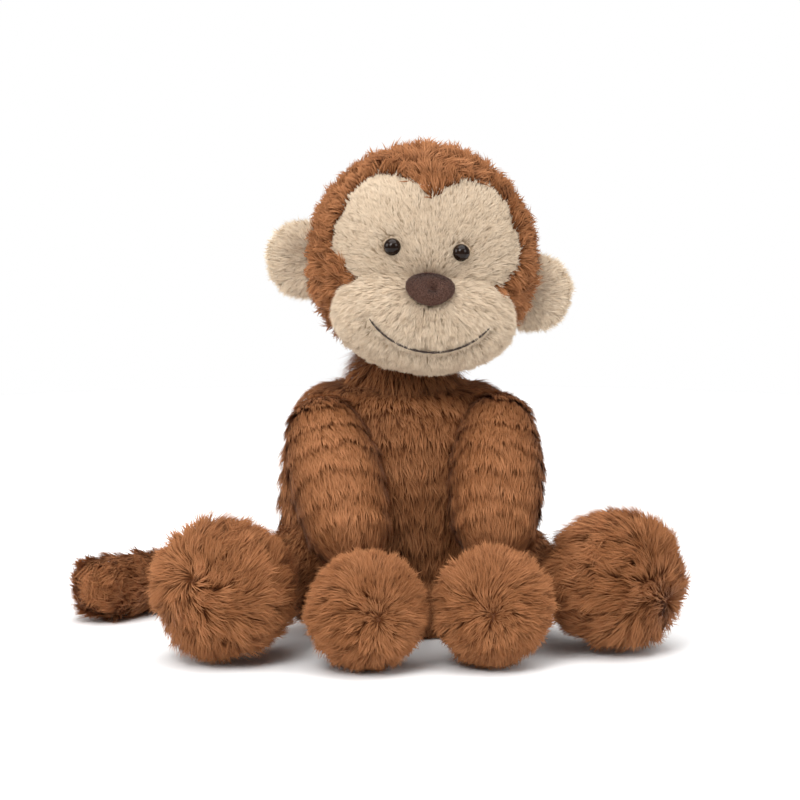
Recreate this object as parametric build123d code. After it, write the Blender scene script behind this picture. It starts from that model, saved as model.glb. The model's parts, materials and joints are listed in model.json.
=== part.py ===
"""A stuffed monkey sitting on its seat: brown coat, beige mask, muzzle and ears, round hands and feet.

Millimetres, +Z up. The origin is the middle of the seat, on the surface that the toy sits on. It faces -Y,
and its own left side is +X. Each soft part is a cover, which is the fabric with its pile, round a filling.
"""
import os
from math import asin, cos, degrees, sin, sqrt

from build123d import *

# Fits
gap = 0.5  # between two bodies, round every socket
seam = 0.1  # between a cover and what fills it

# Cloth, from the backing to the tips of the pile
coat = 7.0
face_pile = 4.5
pouch_cloth = 1.2

# Torso: a pear on a flat seat
torso_height = 118.0
seat_half_width = 40.0
belly_half_width = 61.0
belly_half_depth = 44.0
belly_height = 55.0
neck_half_width = 34.0

# Bean pouch, low in the torso
pouch_radius = 20.0
pouch_height = 20.0

# Neck: a ball of stuffing between torso and head
neck_radius = 21.0

# Head: a ball, tipped and turned a few degrees
head_radius = 52.5
head_over_neck = Vector(3.5, 0, 58.8)
head_tip = 5.0
head_turn = -4.5

# Face, measured in the head's own directions from its centre
mask_lobe_x = 17.0
mask_lobe_z = 17.5
mask_lobe_radius = 21.0
mask_cheek_x = 25.0
mask_cheek_z = 9.0
mask_cheek_radius = 17.0
mask_chin_z = -25.0
mask_chin_half_width = 38.0
mask_chin_half_height = 26.0
muzzle_half_width = 44.0
muzzle_radius = 27.5
muzzle_centre = Vector(1, -33, -24)
nose_half_width = 11.0
nose_half_height = 7.3
nose_half_depth = 5.0
nose_place = (1.3, -7.0)
eye_radius = 4.0
eye_spacing = 32.8
eye_place = (-1.3, 8.6)
eye_depth = 2.2
eye_stem_radius = 1.6
eye_stem_length = 9.0
washer_radius = 5.0
washer_thickness = 1.5
mouth_half_width = 27.5
mouth_place = (2.6, -24.5)
mouth_drop = 13.0
thread_radius = 0.8

# Ears: round flaps, each of two layers of cloth
ear_radius = 18.0
ear_half_thickness = 6.0
ear_root_x = 52.5
ear_right_z = -5.0
ear_left_z = -12.0
ear_y = 2.0

# Arms and hands
shoulder = Vector(40, -30, 98)
shoulder_radius = 19.0
arm_radius = 21.5
wrist_radius = 18.0
hand_radius = 27.5
hand_x = 28.7
hand_y = -89.5

# Legs and feet
hip = Vector(50, -12, 30)
hip_radius = 24.0
ankle_radius = 14.0
foot_radius = 33.0
foot_x = 90.0
foot_y = -63.0

# Tail: three lengths, end to end round the toy's right side, and the last swells to a bulb
tail_radius = 14.0
tail_bulb_radius = 16.0
tail_route = [(-4, 51), (-37, 82), (-96, 68), (-141, 34)]

SIDES = (("right", -1), ("left", 1))


def spheroid(radius, half_length):
    """A ball stretched along Z: radius across, half_length each way."""
    outline = Ellipse(radius, half_length) & Pos(radius, 0) * Rectangle(2 * radius, 2 * half_length)
    return revolve(Plane.XZ * outline, Axis.Z)


def pear(inset):
    """The torso's shape, moved in by inset all round and cut flat at the seat."""
    low = EllipticalCenterArc(
        (seat_half_width - inset, belly_height),
        belly_half_width - seat_half_width,
        belly_height - inset,
        start_angle=-90,
        arc_size=90,
    )
    high = EllipticalCenterArc(
        (neck_half_width - inset, belly_height),
        belly_half_width - neck_half_width,
        torso_height - inset - belly_height,
        start_angle=0,
        arc_size=90,
    )
    top, bottom = high @ 1, low @ 0
    spine = Polyline(top, (0, top.Y), (0, bottom.Y - 1), (bottom.X, bottom.Y - 1), bottom)
    turned = revolve(Plane.XZ * make_face([low, high, *spine.edges()]), Axis.Z)
    depth = (belly_half_depth - inset) / (belly_half_width - inset)
    below = Pos(0, 0, inset - belly_half_width) * Box(*[2 * belly_half_width] * 3)
    return scale(turned, by=(1, depth, 1)) - below


def laid(outline, start, end):
    """A half outline turned about its straight side, then laid from start towards end."""
    return Plane(origin=start, z_dir=end - start) * revolve(Plane.XZ * outline, Axis.Z)


def arm_outline(length, inset=0.0):
    """An arm: round ends centred on the shoulder and the wrist, thickest halfway."""
    near, middle, far = shoulder_radius - inset, arm_radius - inset, wrist_radius - inset
    return make_face([
        CenterArc((0, 0), near, -90, 90),
        ThreePointArc((near, 0), (middle, length / 2), (far, length)),
        CenterArc((0, length), far, 0, 90),
        Line((0, length + far), (0, -near)),
    ])


def tapered_outline(length, near, far):
    """A ball at each end and the cone that touches both."""
    lean = asin((near - far) / length)
    return make_face([
        CenterArc((0, 0), near, -90, 90 + degrees(lean)),
        Line(
            (near * cos(lean), near * sin(lean)),
            (far * cos(lean), length + far * sin(lean)),
        ),
        CenterArc((0, length), far, degrees(lean), 90 - degrees(lean)),
        Line((0, length + far), (0, -near)),
    ])


def ball(centre, radius):
    return Pos(centre) * Sphere(radius)


def mirrored(point, side):
    return Vector(side * point.X, point.Y, point.Z)


def write(name, shape):
    shape.label = name
    export_step(shape, f"parts/{name}.step")


os.makedirs("parts", exist_ok=True)

# ---- Head, in its own directions -------------------------------------------------------------------------
neck_pivot = Vector(0, 0, torso_height)
head_place = Pos(neck_pivot) * Rot(0, 0, head_turn) * Rot(0, head_tip, 0) * Pos(head_over_neck)


def muzzle_ball(inset):
    """The muzzle's ball, its long way from cheek to cheek."""
    radius = muzzle_radius - inset
    return Pos(muzzle_centre) * scale(Sphere(1), by=(muzzle_half_width - inset, radius, radius))


def on_muzzle(x, z):
    """The point on the front of the muzzle at x and z."""
    across = (x - muzzle_centre.X) / muzzle_half_width
    up = (z - muzzle_centre.Z) / muzzle_radius
    return Vector(x, muzzle_centre.Y - muzzle_radius * sqrt(1 - across**2 - up**2), z)


def mask_outline():
    """Two lobes over the eyes, the cheeks beside them, the bridge, and a wide oval under the muzzle."""
    outline = Pos(0, mask_chin_z) * Ellipse(mask_chin_half_width, mask_chin_half_height)
    outline += Rectangle(2 * mask_lobe_x, 2 * mask_lobe_z)
    for side in (-1, 1):
        outline += Pos(side * mask_lobe_x, mask_lobe_z) * Circle(mask_lobe_radius)
        outline += Pos(side * mask_cheek_x, mask_cheek_z) * Circle(mask_cheek_radius)
    return outline


mask_prism = extrude(Plane.XZ * mask_outline(), 2 * head_radius)
neck_room = head_place.inverse() * ball(neck_pivot, neck_radius + gap)

# An eye is a dome on a stem, pushed through the mask and held by a washer behind it.
eyes, washers, eye_rooms, washer_rooms = {}, {}, [], []
for name, side in SIDES:
    x = eye_place[0] + side * eye_spacing / 2
    z = eye_place[1]
    outward = Vector(x, -sqrt(head_radius**2 - x**2 - z**2), z).normalized()
    seat = Plane(origin=outward * (head_radius - eye_depth), z_dir=outward)
    behind = Pos(0, 0, eye_depth - coat - washer_thickness)
    stem = Pos(0, 0, -eye_stem_length / 2) * Cylinder(eye_stem_radius, eye_stem_length)
    bore = Pos(0, 0, -eye_stem_length / 2) * Cylinder(eye_stem_radius + seam, eye_stem_length + 2 * seam)
    dome = Sphere(eye_radius) - Pos(0, 0, -eye_radius) * Box(*[2 * eye_radius] * 3)
    eye_well = Pos(0, 0, eye_radius) * Cylinder(eye_radius + seam, 2 * eye_radius)
    washer_well = behind * Cylinder(washer_radius + seam, washer_thickness + 2 * seam)
    eyes[name] = seat * (dome + stem)
    washers[name] = seat * behind * (
        Cylinder(washer_radius, washer_thickness) - Cylinder(eye_stem_radius + seam, washer_thickness)
    )
    eye_rooms += [seat * eye_well, seat * bore]
    washer_rooms.append(seat * washer_well)

# An ear is a flattened round flap, its root rounded so that it turns in a groove in the hood.
ears, ear_rooms = {}, []
for name, side in SIDES:
    root = Pos(side * ear_root_x, ear_y, ear_left_z if side > 0 else ear_right_z)
    flap = Rot(90, 0, 0) * spheroid(ear_radius, ear_half_thickness)
    flap &= Pos(side * ear_radius, 0, 0) * Box(2 * ear_radius, 4 * ear_radius, 4 * ear_radius)
    flap += spheroid(ear_half_thickness, ear_radius)
    ears[name] = root, flap
    ear_rooms.append(root * spheroid(ear_half_thickness + gap, ear_radius + gap))

shell = Sphere(head_radius) - Sphere(head_radius - coat) - neck_room - eye_rooms - ear_rooms
face_panel = shell & mask_prism
head_hood = shell - mask_prism
head_fill = Sphere(head_radius - coat - seam) - neck_room - eye_rooms - washer_rooms - ear_rooms
muzzle_cover = muzzle_ball(0) - muzzle_ball(face_pile) - Sphere(head_radius)
muzzle_fill = muzzle_ball(face_pile + seam) - Sphere(head_radius + seam)

nose_pad = scale(Sphere(1), by=(nose_half_width, nose_half_depth, nose_half_height))
nose = Pos(on_muzzle(*nose_place)) * nose_pad - muzzle_ball(0) - Sphere(head_radius)

# The smile is one thread, an arc over the front of the muzzle through its ends and its lowest point.
mouth_x, mouth_z = mouth_place
smile = ThreePointArc(
    on_muzzle(mouth_x - mouth_half_width, mouth_z),
    on_muzzle(mouth_x, mouth_z - mouth_drop),
    on_muzzle(mouth_x + mouth_half_width, mouth_z),
)
mouth_stitch = sweep(Plane(origin=smile @ 0, z_dir=smile % 0) * Circle(thread_radius), smile)

head_nodes = {
    "head_hood": head_hood,
    "face_panel": face_panel,
    "head_fill": head_fill,
    "muzzle_cover": muzzle_cover,
    "muzzle_fill": muzzle_fill,
    "nose": nose,
    "mouth_stitch": mouth_stitch,
}
for name, side in SIDES:
    root, flap = ears[name]
    front_half = Pos(0, -2 * ear_radius, 0) * Box(*[4 * ear_radius] * 3)
    head_nodes[f"ear_{name}_front"] = root * (flap & front_half)
    head_nodes[f"ear_{name}_back"] = root * (flap - front_half)
    head_nodes[f"eye_{name}"] = eyes[name]
    head_nodes[f"eye_washer_{name}"] = washers[name]
for name, shape in head_nodes.items():
    write(name, head_place * shape)

# ---- Neck ------------------------------------------------------------------------------------------------
write("neck_fill", ball(neck_pivot, neck_radius))

# ---- Arms, hands, legs and feet --------------------------------------------------------------------------
# A hand turns about the round end of its arm, and a foot about the round end of its leg.
sockets = [ball(neck_pivot, neck_radius + gap)]
for name, side in SIDES:
    top = mirrored(shoulder, side)
    hand = Vector(side * hand_x, hand_y, hand_radius)
    wrist = hand + (top - hand).normalized() * (hand_radius + gap + wrist_radius)
    reach = (wrist - top).length
    arm_cover = arm_outline(reach) - arm_outline(reach, coat)
    write(f"arm_{name}_cover", laid(arm_cover, top, wrist))
    write(f"arm_{name}_fill", laid(arm_outline(reach, coat + seam), top, wrist))
    write(f"hand_{name}_cover", ball(hand, hand_radius) - ball(hand, hand_radius - coat))
    write(f"hand_{name}_fill", ball(hand, hand_radius - coat - seam))
    sockets.append(laid(arm_outline(reach, -gap), top, wrist))

    root = mirrored(hip, side)
    foot = Vector(side * foot_x, foot_y, foot_radius)
    ankle = foot + (root - foot).normalized() * (foot_radius + gap + ankle_radius)
    stride = (ankle - root).length
    leg, leg_inside, leg_fill, leg_room = (
        tapered_outline(stride, hip_radius - inset, ankle_radius - inset)
        for inset in (0, coat, coat + seam, -gap)
    )
    write(f"leg_{name}_cover", laid(leg - leg_inside, root, ankle))
    write(f"leg_{name}_fill", laid(leg_fill, root, ankle))
    write(f"foot_{name}_cover", ball(foot, foot_radius) - ball(foot, foot_radius - coat))
    write(f"foot_{name}_fill", ball(foot, foot_radius - coat - seam))
    sockets.append(laid(leg_room, root, ankle))

# ---- Tail ------------------------------------------------------------------------------------------------
# Each length but the first starts just past the round end of the one before, and turns about that end.
pivots = [Vector(x, y, tail_radius) for x, y in tail_route[:-1]]
tip = Vector(*tail_route[-1], tail_bulb_radius)
lengths = [
    ("tail_base", pivots[0], pivots[1], tail_radius),
    ("tail_mid", pivots[1], pivots[2], tail_radius),
    ("tail_tip", pivots[2], tip, tail_bulb_radius),
]
for name, pivot, end, end_radius in lengths:
    start = pivot
    if name != "tail_base":
        start += (end - pivot).normalized() * (2 * tail_radius + gap)
    outer, inner, fill, room = (
        tapered_outline((end - start).length, tail_radius - inset, end_radius - inset)
        for inset in (0, coat, coat + seam, -gap)
    )
    write(f"{name}_cover", laid(outer - inner, start, end))
    write(f"{name}_fill", laid(fill, start, end))
    if name == "tail_base":
        sockets.append(laid(room, start, end))

# ---- Torso -----------------------------------------------------------------------------------------------
middle = Pos(0, 0, coat + seam + pouch_height / 2)
pouch = middle * Cylinder(pouch_radius, pouch_height)
beans = middle * Cylinder(pouch_radius - pouch_cloth, pouch_height - 2 * pouch_cloth)
pouch_room = middle * Cylinder(pouch_radius + seam, pouch_height + 2 * seam)
write("torso_cover", pear(0) - pear(coat) - sockets)
write("torso_fill", pear(coat + seam) - pouch_room - sockets)
write("seat_bean_pouch", pouch - beans)
write("seat_beans", beans)
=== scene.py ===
"""Stuffed monkey, sitting: cloth, pile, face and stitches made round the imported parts.

Metres, +Z up. The toy faces -Y and its own left side is +X.
"""
import json
import math

import bmesh
import bpy
from mathutils import Matrix, Vector, noise


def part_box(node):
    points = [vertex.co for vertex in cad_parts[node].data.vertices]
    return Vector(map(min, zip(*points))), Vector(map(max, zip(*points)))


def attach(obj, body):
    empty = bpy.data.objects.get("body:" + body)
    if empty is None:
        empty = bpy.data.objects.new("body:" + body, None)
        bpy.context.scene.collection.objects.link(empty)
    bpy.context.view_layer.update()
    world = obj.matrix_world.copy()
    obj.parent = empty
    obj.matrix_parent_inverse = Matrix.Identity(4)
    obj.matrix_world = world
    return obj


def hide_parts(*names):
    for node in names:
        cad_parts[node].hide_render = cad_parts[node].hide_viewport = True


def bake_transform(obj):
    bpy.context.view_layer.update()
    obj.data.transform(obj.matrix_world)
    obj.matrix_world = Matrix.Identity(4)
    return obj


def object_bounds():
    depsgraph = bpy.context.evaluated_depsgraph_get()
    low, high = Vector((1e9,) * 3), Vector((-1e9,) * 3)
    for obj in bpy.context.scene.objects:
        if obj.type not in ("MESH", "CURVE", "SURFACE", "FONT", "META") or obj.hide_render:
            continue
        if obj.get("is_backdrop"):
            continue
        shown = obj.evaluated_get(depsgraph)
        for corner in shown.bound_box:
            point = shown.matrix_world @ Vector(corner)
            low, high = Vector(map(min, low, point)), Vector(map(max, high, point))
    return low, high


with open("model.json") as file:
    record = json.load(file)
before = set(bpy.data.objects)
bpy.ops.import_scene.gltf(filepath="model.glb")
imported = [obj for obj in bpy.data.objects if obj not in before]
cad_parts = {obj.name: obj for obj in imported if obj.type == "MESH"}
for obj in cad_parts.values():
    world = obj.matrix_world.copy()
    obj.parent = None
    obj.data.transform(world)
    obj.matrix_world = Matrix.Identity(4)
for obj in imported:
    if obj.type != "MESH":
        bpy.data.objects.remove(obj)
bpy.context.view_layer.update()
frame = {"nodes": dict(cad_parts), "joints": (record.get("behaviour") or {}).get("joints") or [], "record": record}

# ---- Table, light and camera -----------------------------------------------------------------------------
# A plain pale table top, soft light from large lamps on both sides, and a long lens a little above the toy.
scene = bpy.context.scene
scene.view_settings.view_transform = "Standard"

table_radius = 0.85
table = bmesh.new()
bmesh.ops.create_circle(table, cap_ends=True, segments=96, radius=table_radius)
table_mesh = bpy.data.meshes.new("table_top")
table.to_mesh(table_mesh)
table.free()
table_top = bpy.data.objects.new("table_top", table_mesh)
scene.collection.objects.link(table_top)
table_paint = bpy.data.materials.new("table_paint")
table_paint.use_nodes = True
table_shader = table_paint.node_tree.nodes["Principled BSDF"]
table_shader.inputs["Base Color"].default_value = (0.95, 0.95, 0.95, 1)
table_shader.inputs["Roughness"].default_value = 0.6
table_mesh.materials.append(table_paint)
table_top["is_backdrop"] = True

sky = bpy.data.worlds.new("sky")
scene.world = sky
sky.use_nodes = True
sky.node_tree.nodes["Background"].inputs["Color"].default_value = (1, 1, 1, 1)
sky_light = 0.24
seen_light = 1.0
sky_path = sky.node_tree.nodes.new("ShaderNodeLightPath")
sky_share = sky.node_tree.nodes.new("ShaderNodeMapRange")
sky_share.inputs["To Min"].default_value = sky_light
sky_share.inputs["To Max"].default_value = seen_light
sky.node_tree.links.new(sky_path.outputs["Is Camera Ray"], sky_share.inputs["Value"])
sky.node_tree.links.new(sky_share.outputs["Result"], sky.node_tree.nodes["Background"].inputs["Strength"])

lamps = (
    ("key_lamp", (-0.7, -1.2, 1.3), 0.7, 18.5),
    ("fill_lamp", (1.2, -1.0, 0.9), 0.8, 8.5),
    ("side_lamp", (-1.4, -0.1, 0.7), 0.8, 9.0),
    ("top_lamp", (0.1, -0.2, 2.2), 2.6, 72.0),
)
for name, place, size, power in lamps:
    lamp = bpy.data.lights.new(name, "AREA")
    lamp.size = size
    lamp.energy = power
    lamp_object = bpy.data.objects.new(name, lamp)
    lamp_object.location = place
    lamp_object.rotation_euler = (Vector((0, 0, 0.1)) - Vector(place)).to_track_quat("-Z", "Y").to_euler()
    scene.collection.objects.link(lamp_object)

camera_bearing = math.radians(-7.5)
camera_height = math.radians(8.0)
camera_distance = 1.4
view_width = 0.372
looked_at = Vector((-0.0047, -0.0235, 0.1125))
backwards = Vector((
    math.sin(camera_bearing) * math.cos(camera_height),
    -math.cos(camera_bearing) * math.cos(camera_height),
    math.sin(camera_height),
))
lens = bpy.data.cameras.new("lens")
lens.lens = lens.sensor_width * camera_distance / view_width
camera = bpy.data.objects.new("camera", lens)
camera.location = looked_at + backwards * camera_distance
camera.rotation_euler = (-backwards).to_track_quat("-Z", "Y").to_euler()
scene.collection.objects.link(camera)
scene.camera = camera

# ---- Torso -----------------------------------------------------------------------------------------------
# The body is a pear of knitted cloth with long brown pile on it, sewn from a front and a back and stuffed.
# The pile lies downwards. It is brushed into ribs across the body, wavy and broken, one over the next.
joint_at = {joint["name"]: Vector(joint["pos_m"]) for joint in frame["joints"]}


def put(tree, kind, inputs=None, **settings):
    """A node of that kind, set up, with its inputs linked or given a number. Returns the node."""
    node = tree.nodes.new(kind)
    for key, value in settings.items():
        setattr(node, key, value)
    shown = [socket for socket in node.inputs if socket.enabled]
    for key, value in (inputs or {}).items():
        socket = shown[key] if isinstance(key, int) else next(s for s in shown if s.name == key)
        if isinstance(value, bpy.types.NodeSocket):
            tree.links.new(value, socket)
        else:
            socket.default_value = value
    return node


def out(node, name=None):
    """The node's output of that name, or its first one in use."""
    return next(s for s in node.outputs if s.enabled and name in (None, s.name))


def calc(tree, operation, *values):
    """One step of arithmetic on numbers. Returns its result."""
    return out(put(tree, "ShaderNodeMath", dict(enumerate(values)), operation=operation))


def vector_calc(tree, operation, inputs):
    """One step of arithmetic on vectors. Returns its result."""
    return out(put(tree, "ShaderNodeVectorMath", inputs, operation=operation))


def strand_shape():
    """One strand of pile, one unit long: a narrow blade that rises along Z and bends over towards X."""
    shape = bmesh.new()
    along = shape.verts.layers.float.new("along")
    side = shape.verts.layers.float.new("side")
    stations = ((0.0, 0.0, 0.0, 1.0), (0.17, 0.53, 0.55, 0.85), (0.5, 0.9, 1.0, 0.0))
    rows = []
    for x, z, share, width in stations:
        row = []
        for hand in ((-1, 1) if width else (0,)):
            corner = shape.verts.new((x, hand * width / 2, z))
            corner[along] = share
            corner[side] = hand
            row.append(corner)
        rows.append(row)
    shape.faces.new((rows[0][0], rows[1][0], rows[1][1], rows[0][1]))
    shape.faces.new((rows[1][0], rows[2][0], rows[1][1]))
    for face in shape.faces:
        face.smooth = True
    mesh = bpy.data.meshes.new("strand")
    shape.to_mesh(mesh)
    shape.free()
    strand = bpy.data.objects.new("strand", mesh)
    scene.collection.objects.link(strand)
    return strand


def pile_maker(strand):
    """Geometry nodes that sow strands over a cover: nap, ribs and clumps."""
    tree = bpy.data.node_groups.new("pile", "GeometryNodeTree")
    tree.interface.new_socket("Geometry", in_out="INPUT", socket_type="NodeSocketGeometry")
    for name in (
        "Density", "Length", "Width", "Lean", "Mess", "Clump", "Gather", "Swirl",
        "Rib pitch", "Rib lift", "Rib waver", "Rib shade",
    ):
        tree.interface.new_socket(name, in_out="INPUT", socket_type="NodeSocketFloat")
    tree.interface.new_socket("Seed", in_out="INPUT", socket_type="NodeSocketInt")
    tree.interface.new_socket("Geometry", in_out="OUTPUT", socket_type="NodeSocketGeometry")
    given = tree.nodes.new("NodeGroupInput").outputs

    def stored(name, kind):
        return out(put(tree, "GeometryNodeInputNamedAttribute", {"Name": name}, data_type=kind))

    def times(one, other):
        return calc(tree, "MULTIPLY", one, other)

    def plus(one, other):
        return calc(tree, "ADD", one, other)

    def noted(geometry, name, value, kind, domain="POINT"):
        return out(put(
            tree, "GeometryNodeStoreNamedAttribute", {"Geometry": geometry, "Name": name, "Value": value},
            data_type=kind, domain=domain,
        ))

    def chance(low, high, salt):
        node = put(tree, "FunctionNodeRandomValue", {"Min": low, "Max": high}, data_type="FLOAT")
        tree.links.new(plus(given["Seed"], salt), node.inputs["Seed"])
        return out(node, "Value")

    sown = put(
        tree, "GeometryNodeDistributePointsOnFaces",
        {"Mesh": given["Geometry"], "Density": given["Density"], "Seed": given["Seed"]},
    )
    outward = sown.outputs["Normal"]
    bare = out(put(
        tree, "FunctionNodeCompare", {0: stored("cover", "FLOAT"), 1: 0.0},
        data_type="FLOAT", operation="LESS_THAN",
    ))
    roots = out(put(
        tree, "GeometryNodeDeleteGeometry", {"Geometry": sown.outputs["Points"], "Selection": bare},
        domain="POINT",
    ))
    place = out(put(tree, "GeometryNodeInputPosition"))

    # Where in its rib a strand stands, 0 at the rib's upper edge and 1 at its lower edge
    waver_grain, ripple_grain, patch_grain = 55.0, 170.0, 38.0
    waver = out(put(tree, "ShaderNodeTexNoise", {"Vector": place, "Scale": waver_grain, "Detail": 1.0}))
    ripple = out(put(tree, "ShaderNodeTexNoise", {"Vector": place, "Scale": ripple_grain, "Detail": 0.0}))
    drift = plus(times(waver, 1.6), times(ripple, 0.35))
    turns = calc(tree, "DIVIDE", stored("run", "FLOAT"), given["Rib pitch"])
    phase = calc(tree, "FRACT", plus(turns, times(drift, given["Rib waver"])))
    swell = calc(tree, "POWER", phase, 1.4)

    # Clumps: strands near each other lean to one point, and each clump goes its own way
    cells = put(tree, "ShaderNodeTexVoronoi", {
        "Vector": place,
        "Scale": calc(tree, "DIVIDE", 1.0, given["Clump"]),
    })
    towards = vector_calc(tree, "SUBTRACT", {0: cells.outputs["Position"], 1: place})
    flat = vector_calc(tree, "SUBTRACT", {
        0: towards,
        1: vector_calc(tree, "PROJECT", {0: towards, 1: outward}),
    })
    kind = put(tree, "ShaderNodeSeparateXYZ", {"Vector": cells.outputs["Color"]}).outputs

    nap = out(put(
        tree, "FunctionNodeAxesToRotation", {0: outward, 1: stored("nap", "FLOAT_VECTOR")},
        primary_axis="Z", secondary_axis="X",
    ))

    def messy(salt, share):
        return times(chance(-1.0, 1.0, salt), times(given["Mess"], share))

    def either_way(value, middle, amount):
        return times(calc(tree, "SUBTRACT", value, middle), amount)

    own_way = either_way(kind["X"], 0.5, given["Swirl"])
    own_lean = either_way(kind["Y"], 0.5, times(given["Swirl"], 0.35))
    lean = plus(given["Lean"], plus(own_lean, messy(11, 0.6)))
    lean = calc(tree, "SUBTRACT", lean, times(swell, 0.18))
    turned_by = put(tree, "ShaderNodeCombineXYZ", {
        "X": messy(12, 0.5),
        "Y": lean,
        "Z": plus(own_way, messy(13, 1.0)),
    })
    turn = out(put(tree, "FunctionNodeEulerToRotation", {0: out(turned_by)}))
    aim = put(tree, "FunctionNodeRotateRotation", {0: nap, 1: turn}, rotation_space="LOCAL")
    reach = times(given["Length"], stored("trim", "FLOAT"))
    reach = times(reach, chance(0.72, 1.12, 14))
    reach = times(reach, plus(0.85, times(kind["Z"], 0.3)))
    size = put(tree, "ShaderNodeCombineXYZ", {
        "X": reach,
        "Y": times(given["Width"], chance(0.7, 1.3, 15)),
        "Z": reach,
    })

    # The colour number of a strand: its own, its clump's and its rib's. The rib's part is painted shade: darker at
    # a rib's upper edge and lighter at its lower edge, where the rib swells out into the light
    patch = out(put(tree, "ShaderNodeTexNoise", {"Vector": place, "Scale": patch_grain, "Detail": 1.0}))
    tone = plus(chance(-0.2, 0.2, 16), either_way(kind["Z"], 0.5, 0.3))
    tone = plus(tone, either_way(patch, 0.5, 0.5))
    tone = plus(tone, either_way(swell, 0.4, given["Rib shade"]))
    tone_node = put(tree, "ShaderNodeMath", {0: tone, 1: 0.5}, operation="ADD", use_clamp=True)

    lift = times(swell, given["Rib lift"])
    lifted = vector_calc(tree, "SCALE", {"Vector": outward, "Scale": lift})
    grown = noted(roots, "tone", out(tone_node), "FLOAT")
    grown = noted(grown, "gather", flat, "FLOAT_VECTOR")
    # The strands are set on their roots before the roots are lifted, so that all of them read the same place
    stood = put(tree, "GeometryNodeInstanceOnPoints", {
        "Points": grown,
        "Instance": out(put(tree, "GeometryNodeObjectInfo", {"Object": strand}), "Geometry"),
        "Rotation": out(aim),
        "Scale": out(size),
    })
    grown = put(tree, "GeometryNodeTranslateInstances", {
        "Instances": out(stood), "Translation": lifted, "Local Space": False,
    })
    grown = put(tree, "GeometryNodeRealizeInstances", {"Geometry": out(grown)})
    along = stored("along", "FLOAT")
    pull = vector_calc(tree, "SCALE", {
        "Vector": stored("gather", "FLOAT_VECTOR"),
        "Scale": times(calc(tree, "POWER", along, 1.5), given["Gather"]),
    })
    grown = put(tree, "GeometryNodeSetPosition", {"Geometry": out(grown), "Offset": pull})

    # No strand goes into the surface that the toy sits on
    lowest = 0.0004
    now = put(tree, "ShaderNodeSeparateXYZ", {"Vector": place}).outputs
    above = put(tree, "ShaderNodeCombineXYZ", {
        "X": now["X"], "Y": now["Y"], "Z": calc(tree, "MAXIMUM", now["Z"], lowest),
    })
    grown = put(tree, "GeometryNodeSetPosition", {"Geometry": out(grown), "Position": out(above)})

    # Each strand's place on the colour chart: its tone across, root to tip upwards, and a little width
    across = plus(times(stored("tone", "FLOAT"), 0.9), 0.05)
    across = plus(across, times(stored("side", "FLOAT"), 0.01))
    chart = put(tree, "ShaderNodeCombineXYZ", {"X": across, "Y": along})
    grown = noted(out(grown), "OFBake", out(chart), "FLOAT2", "CORNER")
    tree.links.new(grown, tree.nodes.new("NodeGroupOutput").inputs[0])
    return tree


strand = strand_shape()
pile_tree = pile_maker(strand)


def strand_colour_group():
    """Shader nodes for the colour of a strand: dark at its root as painted shade for the depth of the pile, and
    its own shade of two towards the tip.
    """
    tree = bpy.data.node_groups.new("strand_colour", "ShaderNodeTree")
    for name in ("Root", "Dark", "Light"):
        tree.interface.new_socket(name, in_out="INPUT", socket_type="NodeSocketColor")
    tree.interface.new_socket("Colour", in_out="OUTPUT", socket_type="NodeSocketColor")
    given = tree.nodes.new("NodeGroupInput").outputs
    tone = put(tree, "ShaderNodeAttribute", attribute_name="tone").outputs["Fac"]
    along = put(tree, "ShaderNodeAttribute", attribute_name="along").outputs["Fac"]
    shade = put(
        tree, "ShaderNodeMix", {"Factor": tone, "A": given["Dark"], "B": given["Light"]}, data_type="RGBA"
    )
    # The dark root colour is painted shade for the depth down in the pile, not a dye of the strand
    root_ends = 0.75
    risen = put(
        tree, "ShaderNodeMapRange", {0: along, 1: 0.0, 2: root_ends, 3: 0.0, 4: 1.0},
        interpolation_type="SMOOTHSTEP",
    )
    whole = put(
        tree, "ShaderNodeMix", {"Factor": out(risen), "A": given["Root"], "B": out(shade, "Result")},
        data_type="RGBA",
    )
    tree.links.new(out(whole, "Result"), tree.nodes.new("NodeGroupOutput").inputs[0])
    return tree


strand_colour = strand_colour_group()


def pile_material(name, root, dark, light, sheen=0.04):
    """Polyester pile: soft, with a little sheen, and letting some light through."""
    material = bpy.data.materials.new(name)
    material.use_nodes = True
    tree = material.node_tree
    shader = tree.nodes["Principled BSDF"]
    group = tree.nodes.new("ShaderNodeGroup")
    group.node_tree = strand_colour
    for key, colour in (("Root", root), ("Dark", dark), ("Light", light)):
        group.inputs[key].default_value = (*colour, 1)
    tree.links.new(group.outputs["Colour"], shader.inputs["Base Color"])
    through = put(tree, "ShaderNodeBsdfTranslucent", {"Color": group.outputs["Colour"]})
    let_through = 0.3
    both = put(tree, "ShaderNodeMixShader", {0: let_through, 1: out(shader), 2: out(through)})
    tree.links.new(out(both), tree.nodes["Material Output"].inputs["Surface"])
    shader.inputs["Roughness"].default_value = 0.62
    shader.inputs["Specular IOR Level"].default_value = 0.12
    shader.inputs["Sheen Weight"].default_value = sheen
    shader.inputs["Sheen Roughness"].default_value = 0.4
    return material


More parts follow.
